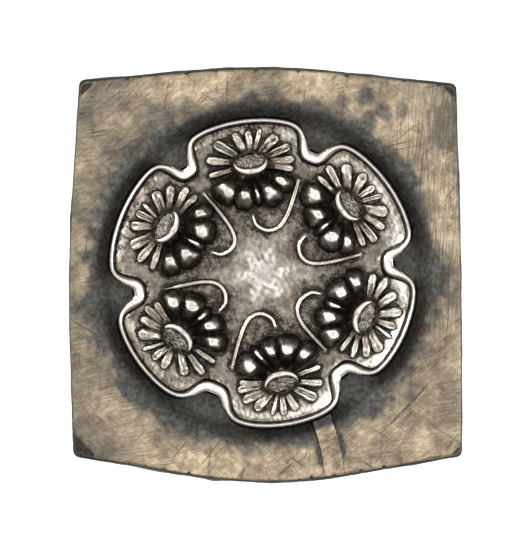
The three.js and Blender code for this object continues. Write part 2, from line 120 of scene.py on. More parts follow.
# Outer petals, cut unevenly: direction from straight outwards, and half an angle
OUTER_FAN = [(101, 7.5), (82, 8.5), (60, 11), (28, 11.5), (3, 10),
             (-15, 6.5), (-43, 12), (-67, 9.5), (-86, 8), (-101, 7.5)]
OUTER_LENGTH = 2.75
OUTER_SIDE_LENGTH = 3.5
OUTER_RISE = 0.7
OUTER_SPAN = (-124, 124)
OUTER_FORM = {"straight_to": 0.7, "root_width": 0.4, "tip_from": 0.74, "tip_power": 3.0}
INNER_SWEEP = 66.0
INNER_LENGTH = 4.5
INNER_RISE = 1.75
INNER_SPAN = (106, 254)
INNER_FORM = {"straight_to": 1.0, "root_width": 0.0, "tip_from": 0.64, "tip_power": 2.2}
NARROW_PETAL = 18
SPARE = 1.12  # a set of petals is laid out on ground this much longer than its petals
# A stem's way, from its flower's direction: degrees, and how far in from the rim's crest
STEM_ROUTE = [(-27.6, 7.0), (-28.8, 9.9), (-28.8, 12.1), (-24.5, 13.6), (-12, 14.2), (1, 13.5), (3.5, 12.3)]
HOOK_FROM = 2
STEM_HALF_WIDTH = 0.42
STEM_RISE = 0.58
# Screw, and its counterbore in the base
SCREW_HOLE_RADIUS = 3.35
COUNTERBORE_RADIUS = 5.85
COUNTERBORE_DEPTH = 5.0

# The medallion's painted light is brightest this many degrees clockwise of its right-hand side
PAINTED_LIGHT_TOWARDS = 35.0

# Levels and places that follow from the CAD
GROUND_LEVEL = BLOCK_HEIGHT + GROUND_RISE
FLOOR_LEVEL = BLOCK_HEIGHT - HOLLOW_DEPTH
POCKET_LEVEL = FLOOR_LEVEL - POCKET_DEPTH
HOLLOW_RADIUS = LOBE_RADIUS + HOLLOW_MARGIN
SUNK = 0.12  # ornaments reach this far into the ground, so that no gap shows at their feet
WIDEST_LEVEL = BLOCK_HEIGHT - WIDEST_BELOW_FACE


def node_middle(node):
    low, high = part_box(node)
    return np.array([(low[0] + high[0]) / 2, (low[1] + high[1]) / 2]) / MM


RELIEF = node_middle("insert_screw")


# -------------------- small maths
def smoothstep(x):
    x = np.clip(x, 0.0, 1.0)
    return x * x * (3 - 2 * x)


def bell(x):
    return np.exp(-x * x)


def wrap(degrees):
    return (np.asarray(degrees) + 180.0) % 360.0 - 180.0


def polar(radius, degrees):
    a = np.radians(degrees)
    return np.stack([radius * np.cos(a), radius * np.sin(a)], axis=-1)


def grow(line, distance):
    """A closed plan line moved outwards by a distance, which may differ from point to point."""
    along = np.roll(line, -1, axis=0) - np.roll(line, 1, axis=0)
    along /= np.linalg.norm(along, axis=1, keepdims=True)
    out = np.stack([along[:, 1], -along[:, 0]], axis=1)
    return line + out * np.reshape(distance, (-1, 1))


def curve_through(points, count):
    """Evenly spaced points on a Catmull-Rom curve through the given ones."""
    p = np.asarray(points, float)
    p = np.vstack([2 * p[0] - p[1], p, 2 * p[-1] - p[-2]])
    t = np.linspace(0, 1, 24, endpoint=False)[:, None]
    parts = []
    for a, b, c, d in zip(p, p[1:], p[2:], p[3:]):
        square, cube = 2 * a - 5 * b + 4 * c - d, 3 * b - a - 3 * c + d
        parts.append(0.5 * (2 * b + (c - a) * t + square * t**2 + cube * t**3))
    line = np.vstack(parts + [p[-2:-1]])
    gone = np.concatenate([[0], np.cumsum(np.linalg.norm(np.diff(line, axis=0), axis=1))])
    even = np.linspace(0, gone[-1], count)
    return np.stack([np.interp(even, gone, line[:, k]) for k in range(p.shape[1])], axis=1)


def distance_to(line, x, y):
    """How far places are from the points of a line."""
    return np.sqrt(((x[..., None] - line[:, 0]) ** 2 + (y[..., None] - line[:, 1]) ** 2).min(axis=-1))


class Noise:
    """Smooth random heights on the plane, the same each run: a sum of waves in random directions."""

    def __init__(self, seed, size, waves=24):
        draw = np.random.default_rng(seed)
        turn = draw.uniform(0, TAU, waves)
        pitch = TAU / size * draw.uniform(0.5, 1.6, waves)
        self.kx = pitch * np.cos(turn)
        self.ky = pitch * np.sin(turn)
        self.phase = draw.uniform(0, TAU, waves)

    def __call__(self, x, y):
        total = sum(np.sin(kx * x + ky * y + p) for kx, ky, p in zip(self.kx, self.ky, self.phase))
        return total / math.sqrt(len(self.phase) / 2) / 2


PEEN = Noise(30, 1.6)
ROLL = Noise(31, 3.2)
RIPPLE = Noise(32, 1.1)


# -------------------- outlines
def notch_share(degrees):
    """1 at the bottom of a notch of the rim, 0 far from one."""
    away = np.stack([np.abs(wrap(degrees - at)) / half for at, half in NOTCHES])
    return (1 / (1 + away**4)).max(axis=0)


def crest_radius(degrees):
    return LOBE_RADIUS - NOTCH_DEPTH * notch_share(degrees)


def rim_half_width(degrees):
    return RIM_HALF_WIDTH + (RIM_FOLD_HALF_WIDTH - RIM_HALF_WIDTH) * notch_share(degrees)


def block_corners():
    left, right = -BLOCK_WIDTH / 2 + BOW["left"], BLOCK_WIDTH / 2 - BOW["right"]
    front, back = -BLOCK_DEPTH / 2 + BOW["front"], BLOCK_DEPTH / 2 - BOW["back"]
    return {
        "front_left": (left - BACK_PINCH, front),
        "front_right": (right + BACK_PINCH, front),
        "back_right": (right - BACK_PINCH, back - BACK_LEAN),
        "back_left": (left + BACK_PINCH, back + BACK_LEAN),
    }


def block_outline(count):
    """The plan outline at the widest level, as points at even angles round the medallion's centre."""
    corners = np.array(list(block_corners().values()))
    bows = [BOW["front"], BOW["right"], BOW["back"], BOW["left"]]
    sides = []
    for i, bow in enumerate(bows):
        start, end = corners[i], corners[(i + 1) % 4]
        length = np.linalg.norm(end - start)
        along = (end - start) / length
        out = np.array([along[1], -along[0]])
        cut = CORNER_ROUND / length
        t = np.linspace(cut, 1 - cut, 60)[:, None]
        swell = 2 * t * (1 - t) + np.sin(math.pi * t) ** 2 / 2
        sides.append(start + along * length * t + out * bow * swell)
    line = []
    for i, side in enumerate(sides):
        a, b, c = side[-1], corners[(i + 1) % 4], sides[(i + 1) % 4][0]
        t = np.linspace(0, 1, 14)[1:-1, None]
        line += [side, a * (1 - t) ** 2 + 2 * b * t * (1 - t) + c * t**2]
    line = np.vstack(line)
    low, high = line.min(axis=0), line.max(axis=0)
    line = (line - (low + high) / 2) * np.array([BLOCK_WIDTH, BLOCK_DEPTH]) / (high - low)
    line = line - RELIEF
    angle = np.degrees(np.arctan2(line[:, 1], line[:, 0])) % 360
    order = np.argsort(angle)
    want = np.arange(count) * 360.0 / count
    radius = np.interp(want, angle[order], np.linalg.norm(line, axis=1)[order], period=360)
    return polar(radius, want)


# -------------------- heights on the medallion
def flower_place(flower):
    middle = polar(LOBE_RADIUS - flower["inset"], flower["at"])
    turn = math.radians(flower["at"] + flower["turn"])
    return middle, turn


def to_flower(flower, x, y):
    middle, turn = flower_place(flower)
    dx, dy = x - middle[0], y - middle[1]
    return dx * math.cos(turn) + dy * math.sin(turn), dy * math.cos(turn) - dx * math.sin(turn)


def from_flower(flower, u, v):
    middle, turn = flower_place(flower)
    return (
        middle[0] + u * math.cos(turn) - v * math.sin(turn),
        middle[1] + u * math.sin(turn) + v * math.cos(turn),
    )


def collar_edge(degrees, outside=0.0):
    """Distance from the flower's centre to the ellipse round its collar."""
    a = np.radians(degrees)
    along, across = COLLAR_ALONG + outside, COLLAR_ACROSS + outside
    return along * across / np.hypot(across * np.cos(a), along * np.sin(a))


def outer_length(degrees):
    side = np.abs(np.sin(np.radians(degrees)))
    return OUTER_LENGTH + (OUTER_SIDE_LENGTH - OUTER_LENGTH) * side


def make_petals(flower, seed):
    """Gives a flower its petals: each has a direction, a length past the collar, half its angle, a rise."""
    draw = np.random.default_rng(seed)
    outer = []
    for direction, half_angle in OUTER_FAN:
        lean = flower["lean"] * (0.35 + 0.65 * math.cos(math.radians(direction)))
        angle = direction + lean + draw.uniform(-2, 2)
        side = abs(math.sin(math.radians(angle)))
        outer.append({
            "angle": angle,
            "length": outer_length(angle) * draw.uniform(0.9, 1.05),
            "half_angle": half_angle * draw.uniform(0.94, 1.06),
            "rise": OUTER_RISE * (0.85 + 0.2 * side) * draw.uniform(0.88, 1.1),
            "fold": draw.choice([0.24, 0.12, -0.06, 0.05]),
        })
    inner = []
    shares = np.array(flower["inner"])
    ends = 180 - INNER_SWEEP + 2 * INNER_SWEEP * np.concatenate([[0], np.cumsum(shares)]) / shares.sum()
    for low, high in zip(ends, ends[1:]):
        narrow = (high - low) < NARROW_PETAL
        trim = 0.95 if narrow else 1.0
        off_axis = bell((abs((low + high) / 2 - 180) - 36) / 16)
        inner.append({
            "angle": (low + high) / 2,
            "length": (INNER_LENGTH + 0.45 * off_axis) * draw.uniform(0.97, 1.03) * trim,
            "half_angle": (high - low) / 2 * 1.06,
            "rise": INNER_RISE * (0.88 if narrow else draw.uniform(0.96, 1.03)),
            "crest": draw.uniform(0.48, 0.56),
        })
    flower["outer_petals"], flower["inner_petals"] = outer, inner


def on_petal(petal, rho, alpha, straight_to, root_width, tip_from, tip_power):
    """Where places lie on a petal: s along it, t across it, and whether they are on it at all."""
    turn = np.radians(wrap(alpha - petal["angle"]))
    ahead = rho * np.cos(turn)
    root = collar_edge(petal["angle"])
    s = (ahead - root) / petal["length"]
    tip = np.clip((s - tip_from) / (1 - tip_from), 0, 1)
    widest = root + petal["length"] * straight_to
    wedge = root_width * widest + (1 - root_width) * np.clip(ahead, 0.1, widest)
    half = math.tan(math.radians(petal["half_angle"])) * wedge * np.sqrt(1 - tip**tip_power)
    t = rho * np.sin(turn) / np.maximum(half, 1e-6)
    return s, t, (np.abs(t) < 1) & (s > -0.2) & (s < 1) & (np.abs(turn) < 1.2)


def outer_rise(flower, u, v):
    """Height of the low paddle-shaped petals, and 0 beside them."""
    best = np.zeros_like(u)
    rho, alpha = np.hypot(u, v), np.degrees(np.arctan2(v, u))
    for petal in flower["outer_petals"]:
        s, t, inside = on_petal(petal, rho, alpha, **OUTER_FORM)
        back = 0.55 + 0.45 * smoothstep(s / 0.5) - 0.3 * smoothstep((s - 0.62) / 0.38)
        across = np.sqrt(np.clip(1 - np.abs(t) ** 5, 0, 1))
        crease = petal["fold"] * bell(t / 0.42) * smoothstep(s / 0.3)
        ridges = 0.025 * np.cos(3 * math.pi * t) * smoothstep(s / 0.3)
        rise = petal["rise"] * back * (across - crease - ridges) + 0.035 * PEEN(u * 1.3, v * 1.3)
        best = np.maximum(best, np.where(inside, rise, 0))
    return best


def inner_rise(flower, u, v):
    """Height of the high rounded petals on the side towards the medallion's centre, and 0 beside them."""
    best = np.zeros_like(u)
    rho, alpha = np.hypot(u, v), np.degrees(np.arctan2(v, u))
    for petal in flower["inner_petals"]:
        s, t, inside = on_petal(petal, rho, alpha, **INNER_FORM)
        crest = petal["crest"]
        up = 0.12 + 0.88 * smoothstep(s / crest)
        down = np.clip(1 - (np.clip(s - crest, 0, 1) / (1 - crest)) ** 1.7, 0, 1) ** 0.62
        across = np.clip(1 - np.abs(t) ** 2.2, 0, 1) ** 0.6
        rise = petal["rise"] * up * down * (0.42 + 0.58 * across) + 0.05 * PEEN(u, v) * down
        best = np.maximum(best, np.where(inside, rise, 0))
    return best


def collar_top(degrees):
    return COLLAR_LOW + (COLLAR_HIGH - COLLAR_LOW) * (1 - np.cos(np.radians(degrees))) / 2


def disc_edge(degrees):
    """Distance from the flower's centre to the smaller ellipse of its disc, which stands outwards of it."""
    a = np.radians(degrees)
    square = (np.cos(a) / DISC_ALONG) ** 2 + (np.sin(a) / DISC_ACROSS) ** 2
    straight = DISC_SHIFT * np.cos(a) / DISC_ALONG**2
    return (straight + np.sqrt(straight**2 + square * (1 - (DISC_SHIFT / DISC_ALONG) ** 2))) / square


def collar_wall(degrees):
    """Half the collar's thickness: thin outwards, and a broad crescent on the inward side."""
    return (collar_edge(degrees) - disc_edge(degrees)) / 2


def flower_core_rise(flower, u, v):
    """Height of the collar and the disc in it."""
    alpha = np.degrees(np.arctan2(v, u))
    rho = np.hypot(u, v)
    wall = collar_wall(alpha)
    t = (rho - collar_edge(alpha) + wall) / wall
    ring = np.where(np.abs(t) < 1, collar_top(alpha) * np.sqrt(np.clip(1 - t**2 * 0.8, 0, 1)), 0)
    disc = np.where(t <= -1, collar_top(alpha) - 0.4, 0)
    return np.maximum(ring, disc)


def stem_line(flower, count=140):
    points = []
    for i, (turn, inset) in enumerate(STEM_ROUTE):
        radius = LOBE_RADIUS - inset + (0 if i < HOOK_FROM else flower["hook"])
        points.append(polar(radius, flower["at"] + turn))
    return curve_through(points, count)


def stem_taper(share):
    return (1 - 0.4 * share**6) * (1 - 0.25 * (1 - share) ** 4)


def stem_rise(flower, x, y):
    line = stem_line(flower, 70)
    low, high = line.min(axis=0) - 1, line.max(axis=0) + 1
    near = (x > low[0]) & (x < high[0]) & (y > low[1]) & (y < high[1])
    rise = np.zeros_like(x)
    away = distance_to(line, x[near], y[near])
    rise[near] = STEM_RISE * np.sqrt(np.clip(1 - (away / STEM_HALF_WIDTH) ** 2, 0, 1))
    return rise


def ground_rise(x, y):
    """The plate's ground: curving up to the rim, with a low dome whose arms point at the notches."""
    r, a = np.hypot(x, y), np.degrees(np.arctan2(y, x))
    inside = crest_radius(a) - r
    cove = 0.75 * np.clip(1 - inside / 2.3, 0, 1) ** 2.4
    dome = DOME_RISE * bell(r / DOME_RADIUS)
    arms = sum(bell(wrap(a - at) / 13) for at, _ in NOTCHES) * bell((r - 7.5) / 3.5) * 0.22
    lift = 0.03 * ROLL(x, y) + 0.012 * RIPPLE(x, y)
    return cove + dome + arms + lift * smoothstep(inside / 1.5)


# The rim's section, from its inner foot over the crest to its outer foot, on a lobe and at a notch's fold
RIM_ON_LOBE = [(-0.62, -0.1), (-0.52, 0.35), (-0.42, 0.62), (-0.34, 0.9), (-0.27, 1.06), (-0.17, 1.16),
               (-0.04, 1.2), (0.09, 1.13), (0.18, 0.92), (0.25, 0.5), (0.3, 0.1), (0.32, -0.1)]
RIM_AT_FOLD = [(-1.15, -0.1), (-1.0, 0.3), (-0.85, 0.62), (-0.72, 0.9), (-0.5, 1.04), (-0.15, 1.12),
               (0.2, 1.2), (0.36, 1.16), (0.42, 1.02), (0.5, 1.08), (0.6, 0.8), (0.62, -0.1)]


def rim_rise(x, y):
    """Height of the rim, and -1 outside it."""
    r, a = np.hypot(x, y), np.degrees(np.arctan2(y, x))
    share = notch_share(a)
    out = r - crest_radius(a)
    lobe, fold = np.array(RIM_ON_LOBE), np.array(RIM_AT_FOLD)
    on_lobe = np.interp(out, lobe[:, 0] + np.arange(len(lobe)) * 1e-6, lobe[:, 1], left=0, right=-1)
    at_fold = np.interp(out, fold[:, 0] + np.arange(len(fold)) * 1e-6, fold[:, 1], left=0, right=-1)
    return on_lobe * (1 - share) + at_fold * share


# -------------------- wear, grime and painted shade from the whole relief
class Cavity:
    """How far each place of the medallion stands above or below its surroundings, kept as a grid."""

    STEP = 0.07
    REACH = 21.5

    def __init__(self):
        axis = np.arange(-self.REACH, self.REACH, self.STEP)
        x, y = np.meshgrid(axis, axis)
        height = np.maximum(ground_rise(x, y), rim_rise(x, y))
        outside = np.hypot(x, y) > crest_radius(np.degrees(np.arctan2(y, x))) + 0.5
        height[outside] = -GROUND_RISE - HOLLOW_DEPTH
        for flower in FLOWERS:
            middle, _ = flower_place(flower)
            near = np.hypot(x - middle[0], y - middle[1]) < FLOWER_REACH
            u, v = to_flower(flower, x[near], y[near])
            rise = np.maximum(outer_rise(flower, u, v), inner_rise(flower, u, v))
            height[near] = np.maximum(height[near], np.maximum(rise, flower_core_rise(flower, u, v)))
            height = np.maximum(height, stem_rise(flower, x, y))
        self.fine = height - self.blurred(height, 0.3)
        self.broad = height - self.blurred(height, 1.0)
        down, across = np.gradient(self.blurred(height, 0.08), self.STEP)
        self.slope = np.hypot(down, across)

    def blurred(self, grid, sigma):
        k = np.fft.fftfreq(grid.shape[0], self.STEP)
        fade = np.exp(-2 * (math.pi * sigma * k) ** 2)
        return np.real(np.fft.ifft2(np.fft.fft2(grid) * fade[:, None] * fade[None, :]))

    def at(self, grid, x, y):
        gx = np.clip((x + self.REACH) / self.STEP, 0, grid.shape[1] - 2)
        gy = np.clip((y + self.REACH) / self.STEP, 0, grid.shape[0] - 2)
        i, j = gx.astype(int), gy.astype(int)
        fx, fy = gx - i, gy - j
        low = grid[j, i] * (1 - fx) + grid[j, i + 1] * fx
        high = grid[j + 1, i] * (1 - fx) + grid[j + 1, i + 1] * fx
        return low * (1 - fy) + high * fy

    def wear_and_shade(self, x, y):
        """1 where the relief is worn bright, 0 in the hollows, where grime stays, and towards 0 on steep
        flanks, as painted shade.
        """
        fine, broad, slope = (self.at(grid, x, y) for grid in (self.fine, self.broad, self.slope))
        high = smoothstep((fine + 0.12) / 0.3) * 0.55 + smoothstep((broad + 0.25) / 0.7) * 0.45
        # steep flanks are darkened here: painted shade
        return high * (1 - 0.85 * smoothstep((slope - 0.42) / 0.6))


for number, flower in enumerate(FLOWERS):
    make_petals(flower, FLOWER_SEED + number)
CAVITY = Cavity()


# -------------------- meshes
def grid_faces(rows, columns, loop_rows=False, loop_columns=False):
    i = np.arange(rows if loop_rows else rows - 1)[:, None]
    j = np.arange(columns if loop_columns else columns - 1)[None, :]
    i2, j2 = (i + 1) % rows, (j + 1) % columns
    faces = np.stack([i * columns + j, i2 * columns + j, i2 * columns + j2, i * columns + j2], axis=-1)
    return faces.reshape(-1, 4)


def add_mesh(name, points, faces, caps=(), attributes=None, material=None, replaces=()):
    """A smooth mesh from points in millimetres, four-sided faces, and caps as rings of points."""
    mesh = bpy.data.meshes.new(name)
    loops = np.concatenate([faces.ravel()] + [np.asarray(cap) for cap in caps]).astype(np.int32)
    totals = np.concatenate([np.full(len(faces), 4), [len(cap) for cap in caps]]).astype(np.int32)
    starts = np.concatenate([[0], np.cumsum(totals)[:-1]]).astype(np.int32)
    mesh.vertices.add(len(points))
    mesh.vertices.foreach_set("co", (points * MM).astype(np.float32).ravel())
    mesh.loops.add(len(loops))
    mesh.loops.foreach_set("vertex_index", loops)
    mesh.polygons.add(len(totals))
    mesh.polygons.foreach_set("loop_start", starts)
    mesh.polygons.foreach_set("use_smooth", np.ones(len(totals), bool))
    for key, values in (attributes or {}).items():
        data = mesh.attributes.new(key, "FLOAT", "POINT").data
        data.foreach_set("value", np.asarray(values, np.float32))
    mesh.update(calc_edges=True)
    mesh.validate()
    piece = bpy.data.objects.new(name, mesh)
    bpy.context.scene.collection.objects.link(piece)
    mesh.materials.append(material)
    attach(piece, BODY)
    if replaces:
        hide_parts(*replaces)
    return piece


def on_block(x, y, z):
    """Points of the medallion as points of the block, with heights above the plate's ground."""
    return np.stack([x + RELIEF[0], y + RELIEF[1], z + GROUND_LEVEL], axis=-1).reshape(-1, 3)


def petal_patch(name, flower, rise, span, steps, reach, shade, node):
    """One set of petals as a closed body: its top follows the petals, and its underside is in the ground."""
    steps_round, steps_out = steps
    angles = np.linspace(*span, steps_round)[:, None]
    share = np.linspace(0, 1, steps_out)[None, :]
    inner = collar_edge(angles, -0.1)
    rho = inner + (reach(angles) - inner) * share
    a = np.radians(angles)
    u, v = rho * np.cos(a), rho * np.sin(a)
    height = rise(flower, u, v)
    x, y = from_flower(flower, u, v)
    z = np.where(height > 0, height, -SUNK)
    z[[0, -1], :] = -SUNK
    z[:, [0, -1]] = -SUNK
    top = on_block(x, y, z)
    under = on_block(x, y, np.full_like(z, -2 * SUNK))
    grid = grid_faces(steps_round, steps_out)
    count = len(top)
    edge = np.concatenate([
        np.arange(steps_out),
        np.arange(1, steps_round) * steps_out + steps_out - 1,
        (steps_round - 1) * steps_out + np.arange(steps_out - 2, -1, -1),
        np.arange(steps_round - 2, 0, -1) * steps_out,
    ])
    ring = count + np.arange(len(edge))
    after = np.roll(np.arange(len(edge)), -1)
    walls = np.stack([edge, ring, ring[after], edge[after]], axis=1)
    # painted light: flowers lying towards one side of the medallion are made brighter
    lightened = 0.86 + 0.14 * math.cos(math.radians(flower["at"] + PAINTED_LIGHT_TOWARDS))
    wear_and_shade = CAVITY.wear_and_shade(x, y) * lightened * shade(angles, share, x, y)
    wear_and_shade = np.concatenate([wear_and_shade.ravel(), np.zeros(len(edge))])
    return add_mesh(
        name, np.vstack([top, under[edge]]), np.vstack([grid[:, ::-1], walls]), caps=[ring[::-1]],
        attributes={"wear_and_shade": wear_and_shade}, material=RELIEF_STEEL, replaces=[node],
    )


def swept(name, node, x, y, z, wear_and_shade, closed=False, material=None):
    """A body through lines with equal numbers of points, as a loop or with its ends capped."""
    rows, columns = x.shape
    faces = grid_faces(rows, columns, loop_rows=closed, loop_columns=True)
    caps = [] if closed else [np.arange(columns), (rows - 1) * columns + np.arange(columns)[::-1]]
    points = on_block(x[:, ::-1], y[:, ::-1], z[:, ::-1])
    attributes = {"wear_and_shade": wear_and_shade[:, ::-1].ravel()}
    return add_mesh(name, points, faces, caps, attributes, material or RELIEF_STEEL, [node])


# -------------------- materials
class Nodes:
    """Short calls for building one material's nodes."""

    def __init__(self, name):
        self.material = bpy.data.materials.new(name)
        self.material.use_nodes = True
        self.tree = self.material.node_tree
        self.shader = self.tree.nodes["Principled BSDF"]

    def add(self, kind, inputs=None, **settings):
        node = self.tree.nodes.new(kind)
        for key, value in settings.items():
            setattr(node, key, value)
        for key, value in (inputs or {}).items():
            self.feed(node.inputs[key], value)
        return node

    def feed(self, socket, value):
        if isinstance(value, bpy.types.NodeSocket):
            self.tree.links.new(value, socket)
        else:
            socket.default_value = value

    def math(self, operation, a, b=0.0, clamp=False):
        node = self.add("ShaderNodeMath", {0: a, 1: b}, operation=operation, use_clamp=clamp)
        return node.outputs[0]

    def attribute(self, name):
        return self.add("ShaderNodeAttribute", attribute_name=name).outputs["Fac"]

    def place(self):
        return self.add("ShaderNodeTexCoord").outputs["Object"]

    def mapped(self, vector, **inputs):
        return self.add("ShaderNodeMapping", {"Vector": vector, **inputs}).outputs[0]

    def noise_on(self, vector, scale, detail, rough, distortion):
        inputs = {"Vector": vector, "Scale": scale, "Detail": detail}
        inputs.update({"Roughness": rough, "Distortion": distortion})
        return self.add("ShaderNodeTexNoise", inputs).outputs["Fac"]

    def noise(self, scale, detail=4.0, rough=0.55, distortion=0.0):
        """Noise whose scale is in features per millimetre."""
        return self.noise_on(self.place(), scale / MM, detail, rough, distortion)

    def streaks(self, degrees, across, along, seed, detail=4.0):
        """Fine parallel scratches at an angle: features per millimetre across them and along them."""
        across, along = across / MM, along / MM
        turned = self.mapped(self.place(), Rotation=(0, 0, -math.radians(degrees)))
        stretched = self.mapped(turned, Scale=(along, across, across), Location=(seed, seed * 1.7, 0))
        return self.noise_on(stretched, 1.0, detail, 0.65, 0.4)

    def streaks_up(self, across, along, seed):
        """Marks drawn up and down the sides."""
        across, along = across / MM, along / MM
        stretched = self.mapped(self.place(), Scale=(across, across, along), Location=(seed, 0, 0))
        return self.noise_on(stretched, 1.0, 5.0, 0.65, 0.3)

    def ramp(self, value, *stops):
        """A grey ramp through (position, value) stops."""
        node = self.add("ShaderNodeValToRGB", {"Fac": value})
        elements = node.color_ramp.elements
        while len(elements) < len(stops):
            elements.new(0.5)
        for element, (position, level) in zip(elements, stops):
            element.position = position
            element.color = (level, level, level, 1)
        return node.outputs["Color"]

    def mix(self, share, a, b):
        node = self.add("ShaderNodeMix", data_type="RGBA")
        self.feed(node.inputs["Factor"], share)
        self.feed(node.inputs["A"], a)
        self.feed(node.inputs["B"], b)
        return node.outputs["Result"]

    def swayed(self, value, by, gain):
        """A value raised where another is over one half, and lowered where that is under."""
        sway = self.math("MULTIPLY", self.math("SUBTRACT", by, 0.5), gain)
        return self.math("ADD", sway, value)

    def brighten(self, colour, value, gain):
        """A colour made lighter where a value is over one half, and darker where it is under."""
        inputs = {0: colour, "Scale": self.swayed(1.0, value, gain)}
        return self.add("ShaderNodeVectorMath", inputs, operation="SCALE").outputs[0]

    def bump(self, height, strength, depth, normal=None):
        inputs = {"Height": height, "Strength": strength, "Distance": depth * MM}
        if normal is not None:
            inputs["Normal"] = normal
        return self.add("ShaderNodeBump", inputs).outputs["Normal"]

    def finish(self, colour, roughness, normal=None, metallic=1.0):
        self.feed(self.shader.inputs["Base Color"], colour)
        self.feed(self.shader.inputs["Roughness"], roughness)
        self.feed(self.shader.inputs["Metallic"], metallic)
        if normal is not None:
            self.feed(self.shader.inputs["Normal"], normal)
        return self.material


BRIGHT_STEEL = (0.74, 0.70, 0.64, 1)
DULL_STEEL = (0.40, 0.365, 0.315, 1)
BROWN_STEEL = (0.22, 0.18, 0.14, 1)
SHADE_AND_GRIME = (0.03, 0.026, 0.022, 1)
TAN_STEEL = (0.44, 0.352, 0.24, 1)
WARM_STEEL = (0.21, 0.168, 0.12, 1)
SOOT_BLACK = (0.045, 0.046, 0.044, 1)
SOOT_GREY = (0.12, 0.125, 0.12, 1)
RUST = (0.075, 0.045, 0.034, 1)
SCRATCH = (0.09, 0.075, 0.055, 1)
SCALE_DARK = (0.018, 0.016, 0.014, 1)
SCALE_BROWN = (0.06, 0.045, 0.033, 1)
SCALE_GREY = (0.1, 0.09, 0.078, 1)
SCALE_RUST = (0.075, 0.045, 0.03, 1)
SCREW_DARK = (0.06, 0.055, 0.05, 1)
SCREW_LIGHT = (0.16, 0.14, 0.12, 1)
SPECULAR_TINT = (0.3, 0.3, 0.3, 1)


def relief_steel():
    """Polished relief: bright where it is worn and where a highlight is painted, brown-grey between, dark
    grime in the hollows and painted shade on steep flanks.
    """
    n = Nodes("relief_steel")
    wear_and_shade = n.attribute("wear_and_shade")
    worn = n.swayed(wear_and_shade, n.noise(1.3, 8, 0.68), 0.6)
    worn = n.swayed(worn, n.noise(4.5, 4, 0.6), 0.4)
    # low values give grime in the hollows and painted shade on the flanks; high values give worn metal and
    # painted highlights
    grime_and_shade = n.ramp(worn, (0.02, 1), (0.24, 0))
    lightened = n.ramp(worn, (0.4, 0), (0.75, 1))
    dull = n.mix(n.ramp(n.noise(0.5, 5, 0.65), (0.42, 0), (0.6, 1)), BROWN_STEEL, DULL_STEEL)
    colour = n.mix(lightened, dull, BRIGHT_STEEL)
    patches = n.ramp(n.noise(0.25, 2), (0.45, 0), (0.55, 1))
    lines = n.mix(patches, n.streaks(62, 9, 0.5, 3.1), n.streaks(-35, 9, 0.5, 8.7))
    colour = n.mix(n.ramp(lines, (0.33, 0.6), (0.47, 0)), colour, BROWN_STEEL)
    colour = n.mix(grime_and_shade, colour, SHADE_AND_GRIME)
    roughness = n.math("ADD", n.math("MULTIPLY", grime_and_shade, 0.3), 0.13)
    roughness = n.math("ADD", roughness, n.math("MULTIPLY", n.noise(4, 4), 0.12))
    height = n.math("ADD", n.noise(5, 3), lines)
    return n.finish(colour, roughness, n.bump(height, 0.6, 0.02))


def seed_steel():
    """The stippled disc of a flower."""
    n = Nodes("seed_steel")
    dots = n.add("ShaderNodeTexVoronoi", {"Vector": n.place(), "Scale": 3.6 / MM}).outputs["Distance"]
    share = n.ramp(dots, (0.2, 0), (0.9, 0.8))
    colour = n.mix(share, DULL_STEEL, SHADE_AND_GRIME)
    colour = n.mix(n.ramp(n.noise(1.2, 3), (0.4, 0.6), (0.6, 0)), colour, SHADE_AND_GRIME)
    return n.finish(colour, 0.4, n.bump(n.math("SUBTRACT", 1.0, dots), 0.8, 0.06))


